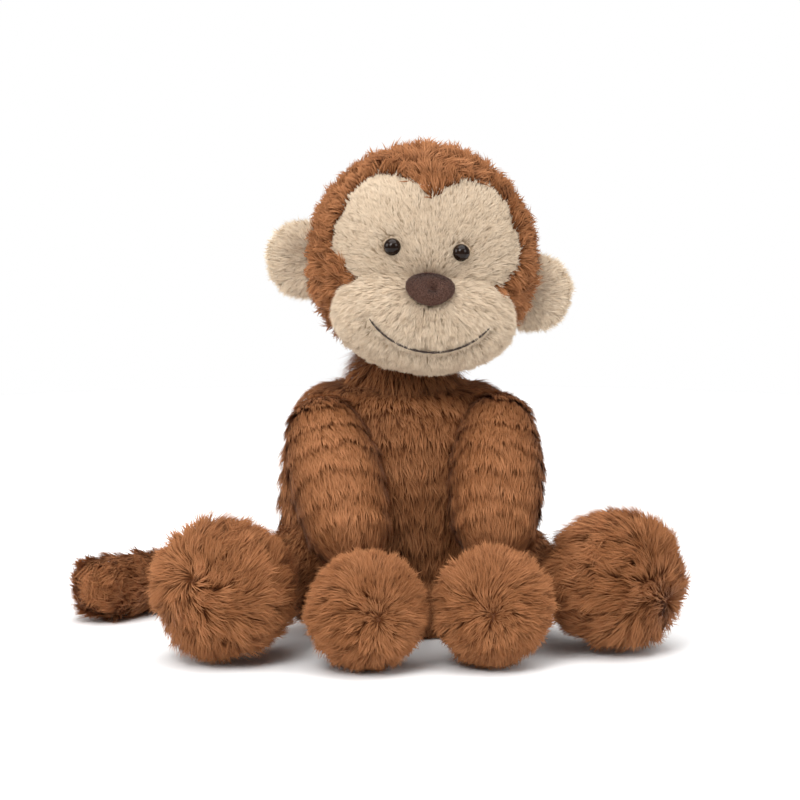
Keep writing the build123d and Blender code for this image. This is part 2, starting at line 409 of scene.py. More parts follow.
def knit_group():
    """Shader nodes for knitted backing cloth: a mottled colour, darker where its small loops sink as painted
    shade, and the height of the loops.
    """
    tree = bpy.data.node_groups.new("knit", "ShaderNodeTree")
    tree.interface.new_socket("Dark", in_out="INPUT", socket_type="NodeSocketColor")
    tree.interface.new_socket("Light", in_out="INPUT", socket_type="NodeSocketColor")
    tree.interface.new_socket("Loops", in_out="INPUT", socket_type="NodeSocketFloat")
    tree.interface.new_socket("Colour", in_out="OUTPUT", socket_type="NodeSocketColor")
    tree.interface.new_socket("Height", in_out="OUTPUT", socket_type="NodeSocketFloat")
    given = tree.nodes.new("NodeGroupInput").outputs
    place = put(tree, "ShaderNodeTexCoord").outputs["Object"]
    loops = put(tree, "ShaderNodeTexVoronoi", {"Vector": place, "Scale": given["Loops"]}).outputs["Distance"]
    worn = out(put(tree, "ShaderNodeTexNoise", {"Vector": place, "Scale": 90.0, "Detail": 3.0}))
    # The colour falls where the loops sink: painted shade between the loops, mottled by noise
    mixed = put(tree, "ShaderNodeMix", {
        "Factor": calc(tree, "MULTIPLY", worn, calc(tree, "SUBTRACT", 1.2, loops)),
        "A": given["Dark"],
        "B": given["Light"],
    }, data_type="RGBA")
    end = tree.nodes.new("NodeGroupOutput")
    tree.links.new(out(mixed, "Result"), end.inputs["Colour"])
    tree.links.new(calc(tree, "SUBTRACT", 1.0, loops), end.inputs["Height"])
    return tree


knit = knit_group()


def knit_material(name, dark, light, loops=700.0, roughness=0.9):
    """Knitted cloth."""
    material = bpy.data.materials.new(name)
    material.use_nodes = True
    tree = material.node_tree
    shader = tree.nodes["Principled BSDF"]
    group = tree.nodes.new("ShaderNodeGroup")
    group.node_tree = knit
    group.inputs["Dark"].default_value = (*dark, 1)
    group.inputs["Light"].default_value = (*light, 1)
    group.inputs["Loops"].default_value = loops
    tree.links.new(group.outputs["Colour"], shader.inputs["Base Color"])
    bump = put(tree, "ShaderNodeBump", {
        "Height": group.outputs["Height"], "Distance": 0.0003, "Strength": 0.6,
    })
    tree.links.new(out(bump), shader.inputs["Normal"])
    shader.inputs["Roughness"].default_value = roughness
    return material


brown_pile = pile_material("brown_pile", (0.115, 0.033, 0.007), (0.235, 0.082, 0.025), (0.52, 0.234, 0.102))
# The backing is real cloth, but its dark brown is painted shade for the gaps between the strands, where it shows
brown_backing = knit_material("brown_backing", (0.14, 0.046, 0.014), (0.24, 0.084, 0.028))


def closed_shape(name, shape, material):
    """The bmesh as an object of its own, its faces pointing outwards."""
    bmesh.ops.remove_doubles(shape, verts=shape.verts, dist=1e-6)
    bmesh.ops.recalc_face_normals(shape, faces=shape.faces)
    for face in shape.faces:
        face.smooth = True
    mesh = bpy.data.meshes.new(name)
    shape.to_mesh(mesh)
    shape.free()
    mesh.materials.append(material)
    made = bpy.data.objects.new(name, mesh)
    scene.collection.objects.link(made)
    return made


def ball(radius, place, subdivisions=4):
    """A round ball as a bmesh, laid where the matrix says."""
    shape = bmesh.new()
    bmesh.ops.create_icosphere(shape, subdivisions=subdivisions, radius=radius, matrix=place)
    return shape


def spun(name, outline, material, start=Vector((0, 0, 0)), end=Vector((0, 0, 1)), steps=48):
    """An outline of (radius, height) points turned all the way round, then laid from start towards end."""
    shape = bmesh.new()
    points = [shape.verts.new((radius, 0, height)) for radius, height in outline]
    edges = [shape.edges.new(pair) for pair in zip(points, points[1:])]
    bmesh.ops.spin(
        shape, geom=points + edges, cent=(0, 0, 0), axis=(0, 0, 1),
        angle=math.tau, steps=steps, use_merge=True,
    )
    turn = (end - start).to_track_quat("Z", "Y").to_matrix().to_4x4()
    bmesh.ops.transform(shape, matrix=Matrix.Translation(start) @ turn, verts=shape.verts)
    return closed_shape(name, shape, material)


def bake_modifier(thing):
    """The modifiers' result as the object's own mesh."""
    bpy.context.view_layer.update()
    seen = thing.evaluated_get(bpy.context.evaluated_depsgraph_get())
    mesh = bpy.data.meshes.new_from_object(seen)
    old = thing.data
    thing.modifiers.clear()
    thing.data = mesh
    bpy.data.meshes.remove(old)
    mesh.name = thing.name


def stuffed(cover, seam, voxel=0.004, cap=0.0025):
    """The cover eased a little by its filling while the seam holds: seam(point) is how firmly, 0 to 1.
    No point moves more than cap. It settles by tenths of a millimetre: the outlines give the shape."""
    remesh = cover.modifiers.new("even_mesh", "REMESH")
    remesh.mode = "VOXEL"
    remesh.voxel_size = voxel
    remesh.use_smooth_shade = True
    bake_modifier(cover)
    before = [vertex.co.copy() for vertex in cover.data.vertices]
    held = cover.vertex_groups.new(name="seam")
    for vertex in cover.data.vertices:
        held.add([vertex.index], seam(vertex.co), "REPLACE")
    cloth = cover.modifiers.new("filling", "CLOTH")
    cloth.settings.use_pressure = True
    cloth.settings.uniform_pressure_force = 4.0
    cloth.settings.effector_weights.gravity = 0
    cloth.settings.vertex_group_mass = "seam"
    for moment in range(1, 21):
        scene.frame_set(moment)
    bake_modifier(cover)
    scene.frame_set(1)
    cover.vertex_groups.clear()
    for vertex, start in zip(cover.data.vertices, before):
        moved = vertex.co - start
        if moved.length > cap:
            vertex.co = start + moved.normalized() * cap
    smooth = cover.modifiers.new("one_round", "SUBSURF")
    smooth.levels = 1
    smooth.render_levels = 1
    bake_modifier(cover)


def combed(cover, nap, run=None, trim=None, grown=None):
    """Notes on each point of the cover which way the pile lies, how far down the nap the point is,
    how long the pile is there, and whether pile grows there, which it does where grown is above 0."""
    mesh = cover.data
    layers = {"nap": [], "run": [], "trim": [], "cover": []}
    for vertex in mesh.vertices:
        place = vertex.co
        layers["nap"].extend(nap(place, vertex.normal))
        layers["run"].append(run(place) if run else 0.0)
        layers["trim"].append(trim(place) if trim else 1.0)
        layers["cover"].append(grown(place) if grown else 1.0)
    for key, values in layers.items():
        kind = "FLOAT_VECTOR" if key == "nap" else "FLOAT"
        attribute = mesh.attributes.new(key, kind, "POINT")
        attribute.data.foreach_set("vector" if key == "nap" else "value", values)


def pile(cover, name, material, per_mm2=2.2, length=0.0095, width=0.0005, lean=55, mess=16,
         clump=0.0035, gather=0.4, swirl=0.6, ribs=(0.0115, 0.0018, 0.5, 0.25), seed=1):
    """Strands of pile over the cover, as one mesh. ribs are their pitch, lift, waver and painted shade (rib lower
    edges lighter, upper edges darker).
    """
    grower = cover.modifiers.new("pile", "NODES")
    grower.node_group = pile_tree
    values = {
        "Density": per_mm2 * 1e6, "Length": length, "Width": width, "Lean": math.radians(lean),
        "Mess": math.radians(mess), "Clump": clump, "Gather": gather, "Swirl": swirl,
        "Rib pitch": ribs[0], "Rib lift": ribs[1], "Rib waver": ribs[2], "Rib shade": ribs[3], "Seed": seed,
    }
    for socket in pile_tree.interface.items_tree:
        if socket.in_out == "INPUT" and socket.name in values:
            grower[socket.identifier] = values[socket.name]
    bpy.context.view_layer.update()
    seen = cover.evaluated_get(bpy.context.evaluated_depsgraph_get())
    mesh = bpy.data.meshes.new_from_object(seen)
    cover.modifiers.clear()
    mesh.name = name
    for done in ("nap", "run", "trim", "cover", "gather", "side"):
        if done in mesh.attributes:
            mesh.attributes.remove(mesh.attributes[done])
    mesh.materials.clear()
    mesh.materials.append(material)
    grown = bpy.data.objects.new(name, mesh)
    scene.collection.objects.link(grown)
    return grown


noise.seed_set(7)


def tousled(place, amount, grain=45.0):
    """A small push to one side, different from place to place, for pile that isn't brushed straight."""
    return noise.noise_vector(place * grain) * amount


def along_surface(direction, normal):
    """The part of a direction that lies in the surface, one unit long."""
    flat = direction - normal * direction.dot(normal)
    return flat.normalized() if flat.length > 1e-6 else normal.orthogonal().normalized()


def arc_points(centre, radii, start, end, count):
    """Points of (radius, height) along an ellipse, from one angle to the other in degrees."""
    angles = [math.radians(start + (end - start) * step / count) for step in range(count + 1)]
    return [(centre[0] + radii[0] * math.cos(a), centre[1] + radii[1] * math.sin(a)) for a in angles]


torso_low, torso_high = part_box("torso_cover")
backing_depth = 0.0048
belly_half_width = (torso_high.x - torso_low.x) / 2 - backing_depth
belly_half_depth = (torso_high.y - torso_low.y) / 2 - backing_depth
torso_top = joint_at["head_turn"].z - 0.002
belly_height = 0.055
seat_half_width = 0.037
neck_half_width = 0.031
seat_lift = 0.002
torso_outline = [(0, seat_lift)]
torso_outline += arc_points(
    (seat_half_width, belly_height),
    (belly_half_width - seat_half_width, belly_height - seat_lift),
    -90, 0, 10,
)
shoulder_fullness = 0.6
for step in range(1, 13):
    angle = math.radians(90 * step / 12)
    fullness = max(0.0, math.cos(angle)) ** shoulder_fullness
    torso_outline.append((
        neck_half_width + (belly_half_width - neck_half_width) * fullness,
        belly_height + (torso_top - belly_height) * math.sin(angle),
    ))
torso_outline.append((0, torso_top))
torso_skin = spun("torso_skin", torso_outline, brown_backing)
lap_hollow = 0.04
lap_height = 0.035
for vertex in torso_skin.data.vertices:
    vertex.co.y *= belly_half_depth / belly_half_width
    if vertex.co.y < 0:
        lap = math.exp(-(vertex.co.x / 0.03) ** 2 - ((vertex.co.z - lap_height) / 0.035) ** 2)
        vertex.co.y *= 1 - lap_hollow * lap
side_seam_half_width = 0.003
seat_seam_height = 0.006
chest_top = 0.088
stuffed(
    torso_skin,
    lambda p: 1.0 if abs(p.y) < side_seam_half_width or p.z < seat_seam_height else 0.0,
)
combed(
    torso_skin,
    nap=lambda p, n: along_surface(Vector((p.x * 0.3, 0, -1)) + tousled(p, 0.5), n),
    run=lambda p: -p.z,
    trim=lambda p: (
        0.45 if p.z < seat_seam_height else 1.0 - 0.4 * min(1.0, max(0.0, (p.z - chest_top) / 0.02))
    ),
)
torso_fur = pile(
    torso_skin, "torso_fur", brown_pile, per_mm2=1.65, length=0.0112, width=0.00055, lean=60,
    clump=0.004, seed=3,
)
for piece in (torso_skin, torso_fur):
    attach(piece, "torso")
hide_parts("torso_cover")

# ---- Arms ------------------------------------------------------------------------------------------------
# Each arm is a stuffed tube of the same cloth, round at the shoulder and thickest halfway to the wrist.
# The pile hangs straight down it in ribs, about 12 mm from one to the next.
shoulder_radius = 0.0165
arm_radius = 0.0195
wrist_radius = 0.0175
limb_seam = 0.002


def limb_outline(near, middle, far, length):
    """A limb: half a ball at each end and a slow swell between, through the middle radius."""
    bulge = middle - (near + far) / 2
    points = arc_points((0, 0), (near, near), -90, 0, 8)
    for step in range(1, 12):
        t = step / 12
        points.append((near + (far - near) * t + 4 * bulge * t * (1 - t), length * t))
    return points + arc_points((0, length), (far, far), 0, 90, 8)


for side in ("left", "right"):
    top = joint_at[f"shoulder_{side}"]
    wrist = joint_at[f"wrist_{side}"]
    downwards = (wrist - top).normalized()
    outline = limb_outline(shoulder_radius, arm_radius, wrist_radius, (wrist - top).length)
    skin = spun(f"arm_{side}_skin", outline, brown_backing, top, wrist)
    stuffed(skin, lambda p: 1.0 if abs((p - top).dot(downwards)) < limb_seam else 0.0, voxel=0.0035)
    combed(
        skin,
        nap=lambda p, n: along_surface(downwards + Vector((0, -0.5, -0.35)) + tousled(p, 0.3), n),
        run=lambda p: (p - top).dot(downwards),
        trim=lambda p: 1.0 - 0.3 * min(1.0, max(0.0, (p.z - top.z + 0.004) / 0.01)),
    )
    fur = pile(
        skin, f"arm_{side}_fur", brown_pile, per_mm2=3.15, length=0.0102, width=0.0005, lean=56, mess=11,
        clump=0.0028, gather=0.4, swirl=0.4, ribs=(0.0118, 0.0009, 0.8, 0.14), seed=11,
    )
    for piece in (skin, fur):
        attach(piece, f"arm_{side}")
    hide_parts(f"arm_{side}_cover")

# ---- Hands -----------------------------------------------------------------------------------------------
# A hand is a round pompom of a paw: one disc of cloth drawn together in the middle of its front.
# The pile spreads from that gather, and hangs down below it.
hand_backing_depth = 0.0053
gather_radius = 0.006
for side, hand in (("left", 1), ("right", -1)):
    low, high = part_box(f"hand_{side}_cover")
    centre = (low + high) / 2
    radius = (high.z - low.z) / 2 - hand_backing_depth
    gather = centre + Vector((hand * -0.12, -0.98, -0.02)).normalized() * radius
    skin = closed_shape(f"hand_{side}_skin", ball(radius, Matrix.Translation(centre)), brown_backing)
    stuffed(skin, lambda p: max(0.0, 1 - (p - gather).length / gather_radius), voxel=0.0035)
    for vertex in skin.data.vertices:
        near = (vertex.co - gather).length / gather_radius
        vertex.co += vertex.normal * -0.0008 * math.exp(-near * near)
    combed(
        skin,
        nap=lambda p, n: along_surface(
            (p - gather).normalized() + Vector((0, 0, -0.35)) + tousled(p, 0.8, 60.0), n
        ),
        run=lambda p: (p - gather).length,
        trim=lambda p: min(1.0, 0.55 + (p - gather).length / 0.03),
    )
    fur = pile(
        skin, f"hand_{side}_fur", brown_pile, per_mm2=4.4, length=0.0086, width=0.00042, lean=38, mess=18,
        clump=0.0034, gather=0.6, swirl=0.9, ribs=(0.019, 0.001, 0.5, 0.12), seed=21,
    )
    for piece in (skin, fur):
        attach(piece, f"hand_{side}")
    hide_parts(f"hand_{side}_cover")

# ---- Legs ------------------------------------------------------------------------------------------------
# The legs are short and lie on the table. Only their tops show between the body and the feet.
hip_radius = 0.020
knee_radius = 0.0155
ankle_radius = 0.011
for side in ("left", "right"):
    root = joint_at[f"hip_{side}"]
    ankle = joint_at[f"ankle_{side}"]
    outwards = (ankle - root).normalized()
    outline = limb_outline(hip_radius, knee_radius, ankle_radius, (ankle - root).length)
    skin = spun(f"leg_{side}_skin", outline, brown_backing, root, ankle)
    stuffed(skin, lambda p: 1.0 if abs((p - root).dot(outwards)) < limb_seam else 0.0, voxel=0.0035)
    combed(
        skin,
        nap=lambda p, n: along_surface(outwards + Vector((0, 0, -0.4)), n),
        run=lambda p: (p - root).dot(outwards),
    )
    fur = pile(skin, f"leg_{side}_fur", brown_pile, per_mm2=1.9, length=0.0092, seed=31)
    for piece in (skin, fur):
        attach(piece, f"leg_{side}")
    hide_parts(f"leg_{side}_cover")

# ---- Feet ------------------------------------------------------------------------------------------------
# A foot is a ball with a round sole sewn in. It has the longest pile, in clumps that spread from the sole's
# middle and fold over the seam at the sole's edge.
foot_backing_depth = 0.0056
for side, hand in (("left", 1), ("right", -1)):
    low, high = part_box(f"foot_{side}_cover")
    centre = (low + high) / 2
    radius = (high.z - low.z) / 2 - foot_backing_depth
    sole_way = Vector((hand * 0.42, -0.9, 0.1)).normalized()
    sole = centre + sole_way * radius
    sole_seam = radius * 0.45
    skin = closed_shape(f"foot_{side}_skin", ball(radius, Matrix.Translation(centre)), brown_backing)
    stuffed(skin, lambda p: max(0.0, 1 - abs((p - centre).dot(sole_way) - sole_seam) / 0.003), voxel=0.0038)
    for vertex in skin.data.vertices:
        off = ((vertex.co - centre).dot(sole_way) - sole_seam) / 0.0035
        vertex.co += vertex.normal * -0.0010 * math.exp(-off * off)
    combed(
        skin,
        nap=lambda p, n: along_surface(
            (p - sole).normalized() * min(1.3, 1.6 * (p - sole).length / radius - 0.1)
            + Vector((-hand * 0.3, 0, -0.2)) + tousled(p, 1.7, 38.0), n
        ),
        run=lambda p: (p - sole).length,
        trim=lambda p: min(1.0, 0.7 + (p - sole).length / 0.05) * (0.6 if p.z < 0.01 else 1.0),
    )
    fur = pile(
        skin, f"foot_{side}_fur", brown_pile, per_mm2=3.6, length=0.0112, width=0.00046, lean=44, mess=19,
        clump=0.0046, gather=0.7, swirl=1.3, ribs=(0.021, 0.0015, 0.6, 0.15), seed=41,
    )
    for piece in (skin, fur):
        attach(piece, f"foot_{side}")
    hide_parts(f"foot_{side}_cover")

# ---- Tail ------------------------------------------------------------------------------------------------
# The tail is one stuffed tube that lies round the toy's right side and swells to a bulb at its tip.
# Its cloth bends at two places, so it is modelled as two stretches that meet halfway between the bends.
tail_root = joint_at["tail_lift"]
first_bend = joint_at["tail_bend"]
second_bend = joint_at["tail_tip_bend"]
tip_low, tip_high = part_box("tail_tip_cover")
bulb_radius = tip_high.z / 2
bulb = Vector((tip_low.x + bulb_radius, tip_low.y + bulb_radius, bulb_radius))
tail_backing_depth = 0.0045
tail_radius = tail_root.z - tail_backing_depth
between_bends = (first_bend + second_bend) / 2


def tube(name, stops, end_radii, closed_end):
    """A tube through the stops on a smooth line, its radius going from one end's to the other's."""
    line = bpy.data.curves.new(name, "CURVE")
    line.dimensions = "3D"
    line.resolution_u = 10
    line.bevel_depth = 1.0
    line.bevel_resolution = 6
    line.use_fill_caps = True
    spline = line.splines.new("NURBS")
    spline.points.add(len(stops) - 1)
    for count, (point, stop) in enumerate(zip(spline.points, stops)):
        share = count / (len(stops) - 1)
        point.co = (*stop, 1)
        point.radius = end_radii[0] + (end_radii[1] - end_radii[0]) * share
    spline.order_u = 3
    spline.use_endpoint_u = True
    holder = bpy.data.objects.new(name, line)
    scene.collection.objects.link(holder)
    bpy.context.view_layer.update()
    mesh = bpy.data.meshes.new_from_object(holder.evaluated_get(bpy.context.evaluated_depsgraph_get()))
    bpy.data.objects.remove(holder)
    shape = bmesh.new()
    shape.from_mesh(mesh)
    bmesh.ops.create_icosphere(
        shape, subdivisions=3, radius=end_radii[1] if closed_end == "last" else end_radii[0],
        matrix=Matrix.Translation(stops[-1] if closed_end == "last" else stops[0]),
    )
    bpy.data.meshes.remove(mesh)
    return closed_shape(name, shape, brown_backing)


def tail_nap(place, normal):
    """The tail's pile lies towards its tip."""
    if place.x > first_bend.x:
        way = first_bend - tail_root
    elif place.x > second_bend.x:
        way = second_bend - first_bend
    else:
        way = bulb - second_bend
    return along_surface(way.normalized() + tousled(place, 1.3), normal)


tail_stretches = (
    ("tail_near", (tail_root, (tail_root + first_bend) / 2, first_bend, between_bends),
     (tail_radius, tail_radius), "first", ("tail_base", "tail_mid"), first_bend,
     ("tail_base_cover", "tail_mid_cover")),
    ("tail_far", (between_bends, second_bend, (second_bend + bulb) / 2, bulb),
     (tail_radius, bulb_radius - tail_backing_depth), "last", ("tail_mid", "tail_tip"), second_bend,
     ("tail_tip_cover",)),
)
for name, stops, radii, closed_end, bodies, bend, covers in tail_stretches:
    skin = tube(f"{name}_skin", stops, radii, closed_end)
    stuffed(skin, lambda p: 0.0, voxel=0.0035, cap=0.001)
    combed(skin, nap=tail_nap, run=lambda p: -p.x)
    fur = pile(
        skin, f"{name}_fur", brown_pile, per_mm2=4.2, length=0.0100, lean=50, mess=18, clump=0.005,
        gather=0.3, swirl=0.9, ribs=(0.012, 0.002, 0.6, 0.2), seed=51,
    )
    for piece in (skin, fur):
        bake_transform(piece)
    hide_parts(*covers)

# ---- Neck ------------------------------------------------------------------------------------------------
# The head is sewn to the body over a ball of stuffing. The ball's cloth is the body's, with shorter pile.
neck_low, neck_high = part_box("neck_fill")
neck_centre = (neck_low + neck_high) / 2
neck_radius = (neck_high.z - neck_low.z) / 2 + 0.0003
neck_skin = closed_shape("neck_skin", ball(neck_radius, Matrix.Translation(neck_centre)), brown_backing)
combed(neck_skin, nap=lambda p, n: along_surface(Vector((0, 0, -1)), n))
neck_fur = pile(neck_skin, "neck_fur", brown_pile, per_mm2=1.5, length=0.012, lean=30, mess=25, seed=61)
for piece in (neck_skin, neck_fur):
    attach(piece, "neck")

# ---- Head: hood and mask ---------------------------------------------------------------------------------
# The head is a ball. A hood of brown cloth with short curly ribs is sewn round a mask of beige plush, whose
# edge has two lobes over the eyes and a wide curve under the chin.
head_radius = 0.0525
hood_depth = 0.0026
mask_depth = 0.0042
no_ribs = (0.02, 0.0, 0.5, 0.0)
head_centre = Vector([edge - head_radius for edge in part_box("head_hood")[1]])
head_turn = Matrix.Rotation(math.radians(-4.5), 4, "Z") @ Matrix.Rotation(math.radians(5.0), 4, "Y")
head_place = Matrix.Translation(head_centre) @ head_turn
to_head = head_place.inverted()

# Rounds of the mask as (x, z, radius), and its chin as (z, half width, half height)
mask_lobe = (0.017, 0.0175, 0.021)
mask_cheek = (0.025, 0.009, 0.017)
mask_chin = (-0.025, 0.038, 0.026)
nose_spot = Vector((0.0013, 0, -0.0086))
beige_pile = pile_material("beige_pile", (0.42, 0.30, 0.19), (0.62, 0.49, 0.35), (0.82, 0.70, 0.55))
# The ears' plush is the mask's plush made lighter: painted light, for the light the ears miss behind the widest
# part of the head
ear_pile_painted_light = pile_material("beige_ear_pile", (0.58, 0.45, 0.32), (0.70, 0.57, 0.42), (0.88, 0.77, 0.62))
beige_backing = knit_material("beige_backing", (0.48, 0.36, 0.25), (0.62, 0.49, 0.36))


def inside_mask(place):
    """How far inside the mask's edge a point in the head's own directions is, in metres."""
    if place.y > 0:
        return -0.02
    x, z = place.x, place.z
    rounds = [r - math.hypot(abs(x) - cx, z - cz) for cx, cz, r in (mask_lobe, mask_cheek)]
    chin_z, half_width, half_height = mask_chin
    rounds.append((1 - math.hypot(x / half_width, (z - chin_z) / half_height)) * half_height)
    bridge = min(mask_lobe[0] - abs(x), mask_lobe[1] - abs(z))
    return max(*rounds, bridge)


head_skin = closed_shape("head_skin", ball(head_radius - hood_depth, head_place, 5), brown_backing)
seam_width = 0.003
sunk_under_mask = 0.075
stuffed(
    head_skin, lambda p: max(0.0, 1 - abs(inside_mask(to_head @ p)) / seam_width), voxel=0.004, cap=0.0012
)
for vertex in head_skin.data.vertices:
    share = min(1.0, max(0.0, inside_mask(to_head @ vertex.co) / seam_width + 0.5))
    outward = vertex.co - head_centre
    vertex.co = head_centre + outward * (1 - sunk_under_mask * share)
sideways = (head_turn @ Vector((1, 0, 0))).normalized()
upwards = (head_turn @ Vector((0, 0, 1))).normalized()
forwards = (head_turn @ Vector((0, -1, 0))).normalized()
face_middle = head_centre + forwards * head_radius - upwards * 0.006
combed(
    head_skin,
    nap=lambda p, n: along_surface(
        (p - face_middle).normalized()
        - upwards * 0.8 * max(0.0, (p - head_centre).dot(-forwards) / head_radius)
        + tousled(p, 1.1, 60.0), n
    ),
    run=lambda p: (p - head_centre).dot(-forwards),
    grown=lambda p: -inside_mask(to_head @ p),
    trim=lambda p: 0.7 + 0.3 * min(1.0, max(0.0, -inside_mask(to_head @ p) / 0.006)) - (
        0.45 * min(1.0, max(0.0, (head_centre.z - 0.03 - p.z) / 0.012))
    ),
)
head_fur = pile(
    head_skin, "head_fur", brown_pile, per_mm2=2.9, length=0.0086, width=0.00058, lean=50, mess=22,
    clump=0.0044, gather=0.7, swirl=1.4, ribs=(0.0075, 0.0022, 0.75, 0.3), seed=71,
)
mask_ball = ball(head_radius - mask_depth, head_place, 5)
outside = [vertex for vertex in mask_ball.verts if inside_mask(to_head @ vertex.co) < -seam_width]
bmesh.ops.delete(mask_ball, geom=outside, context="VERTS")
mask_skin = closed_shape("mask_skin", mask_ball, beige_backing)
eyes = {side: sum(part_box(f"eye_{side}"), Vector()) / 2 for side in ("left", "right")}


def from_eyes(place):
    """How far a point is from the nearer eye."""
    return min((place - eye).length for eye in eyes.values())


bare_round_eye = 0.0044
nose_point = head_place @ (nose_spot + Vector((0, -head_radius, 0)))
combed(
    mask_skin,
    nap=lambda p, n: along_surface(p - nose_point, n),
    grown=lambda p: min(inside_mask(to_head @ p), from_eyes(p) - bare_round_eye),
    trim=lambda p: min(1.0, 0.6 + (from_eyes(p) - bare_round_eye) / 0.01),
)
mask_fur = pile(
    mask_skin, "mask_fur", beige_pile, per_mm2=5.6, length=0.0052, width=0.00038, lean=44, mess=18,
    clump=0.0022, gather=0.5, swirl=0.8, ribs=no_ribs, seed=81,
)
for piece in (head_skin, head_fur):
    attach(piece, "head")
for piece in (mask_skin, mask_fur):
    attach(piece, "head")
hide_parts("head_hood")
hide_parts("face_panel")

# ---- Muzzle ----------------------------------------------------------------------------------------------
# The muzzle is a wide cushion of the mask's plush. A faint seam runs down its middle, and the smile is sewn
# right through, so it pulls the cushion in and leaves a lip under it.
muzzle_size = Vector((0.044, 0.0275, 0.0275))
muzzle_centre = Vector((0.001, -0.033, -0.024))
muzzle_depth = 0.0033
smile_place = Vector((0.0026, 0, -0.0245))
smile_half_width = 0.0275
smile_drop = 0.013
smile_radius = (smile_half_width ** 2 + smile_drop ** 2) / (2 * smile_drop)
smile_top_z = smile_place.z - smile_drop + smile_radius


def muzzle_front(x, z, depth):
    """The point on the front of the muzzle at x and z of the head, that deep under its surface."""
    size = muzzle_size - Vector((depth, depth, depth))
    share = ((x - muzzle_centre.x) / size.x) ** 2 + ((z - muzzle_centre.z) / size.z) ** 2
    return head_place @ Vector((x, muzzle_centre.y - size.y * math.sqrt(max(0.0, 1 - share)), z))


def from_smile(place):
    """How far a point in the head's own directions is above the smile, seen from the front."""
    across = place.x - smile_place.x
    if abs(across) > smile_half_width:
        beyond = abs(across) - smile_half_width
        return math.hypot(beyond, place.z - smile_place.z)
    return smile_radius - math.hypot(across, place.z - smile_top_z)


muzzle_ball = ball(1.0, Matrix(), 5)
bmesh.ops.scale(muzzle_ball, vec=muzzle_size - Vector((1, 1, 1)) * muzzle_depth, verts=muzzle_ball.verts)
bmesh.ops.transform(
    muzzle_ball, matrix=head_place @ Matrix.Translation(muzzle_centre), verts=muzzle_ball.verts
)
muzzle_skin = closed_shape("muzzle_skin", muzzle_ball, beige_backing)
stuffed(
    muzzle_skin, lambda p: max(0.0, 1 - abs(from_smile(to_head @ p)) / 0.003), voxel=0.0032, cap=0.0012
)
crease_depth = 0.0011
parting_depth = 0.0007
for vertex in muzzle_skin.data.vertices:
    local = to_head @ vertex.co
    if local.y < muzzle_centre.y:
        crease = (from_smile(local) / 0.0028) ** 2
        parting = ((local.x - nose_spot.x) / 0.0022) ** 2
        inward = crease_depth * math.exp(-crease)
        if local.z > smile_place.z - smile_drop:
            inward += parting_depth * math.exp(-parting)
        vertex.co -= vertex.normal * inward
nose_front = muzzle_front(nose_spot.x, nose_spot.z, muzzle_depth)


def clear_of_head(place):
    """How far outside the mask's own surface a point is."""
    return (place - head_centre).length - (head_radius - mask_depth)


def short_at_smile(place):
    """The pile is short beside the smile's stitches and full 2.5 mm away from them."""
    local = to_head @ place
    return min(1.0, 0.38 + abs(from_smile(local)) / 0.004) if local.y < muzzle_centre.y else 1.0


combed(
    muzzle_skin,
    nap=lambda p, n: along_surface((p - nose_front).normalized() + Vector((0, 0, -0.15)), n),
    grown=lambda p: min(clear_of_head(p), (p - nose_front).length - 0.006),
    trim=short_at_smile,
)
muzzle_fur = pile(
    muzzle_skin, "muzzle_fur", beige_pile, per_mm2=7.5, length=0.0053, width=0.00036, lean=44, mess=18,
    clump=0.0023, gather=0.5, swirl=0.7, ribs=no_ribs, seed=91,
)
for piece in (muzzle_skin, muzzle_fur):
    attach(piece, "head")
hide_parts("muzzle_cover")

# ---- Smile -----------------------------------------------------------------------------------------------
# The smile is one line of back stitches in dark thread, each about 4 mm long, pulled down into the pile.
smile_count = 96
stitch_length = 0.004
thread_radius = 0.0005
thread = bpy.data.curves.new("mouth_thread", "CURVE")
thread.dimensions = "3D"
thread.bevel_depth = 1.0
thread.bevel_resolution = 3
thread.use_fill_caps = True
thread_line = thread.splines.new("POLY")
thread_line.points.add(smile_count - 1)
half_angle = math.asin(smile_half_width / smile_radius)
for count, point in enumerate(thread_line.points):
    angle = half_angle * (2 * count / (smile_count - 1) - 1)
    x = smile_place.x + smile_radius * math.sin(angle)
    z = smile_top_z - smile_radius * math.cos(angle)
    step = (smile_radius * (angle + half_angle) / stitch_length) % 1.0
    rise = math.sin(math.pi * step)
    thin_end = min(1.0, 0.45 + 6 * (1 - abs(angle) / half_angle))
    point.co = (*muzzle_front(x, z, 0.0014 + 0.0003 * (1 - rise)), 1)
    point.radius = thread_radius * (0.85 + 0.25 * rise) * thin_end
thread_holder = bpy.data.objects.new("mouth_line", thread)
scene.collection.objects.link(thread_holder)
bpy.context.view_layer.update()
thread_mesh = bpy.data.meshes.new_from_object(
    thread_holder.evaluated_get(bpy.context.evaluated_depsgraph_get())
)
bpy.data.objects.remove(thread_holder)
mouth_thread = bpy.data.objects.new("mouth_thread", thread_mesh)
scene.collection.objects.link(mouth_thread)
dark_thread = knit_material(
    "dark_thread", (0.018, 0.009, 0.006), (0.05, 0.026, 0.016), loops=2600.0, roughness=0.7
)
thread_mesh.materials.clear()
thread_mesh.materials.append(dark_thread)
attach(mouth_thread, "head")
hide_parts("mouth_stitch")

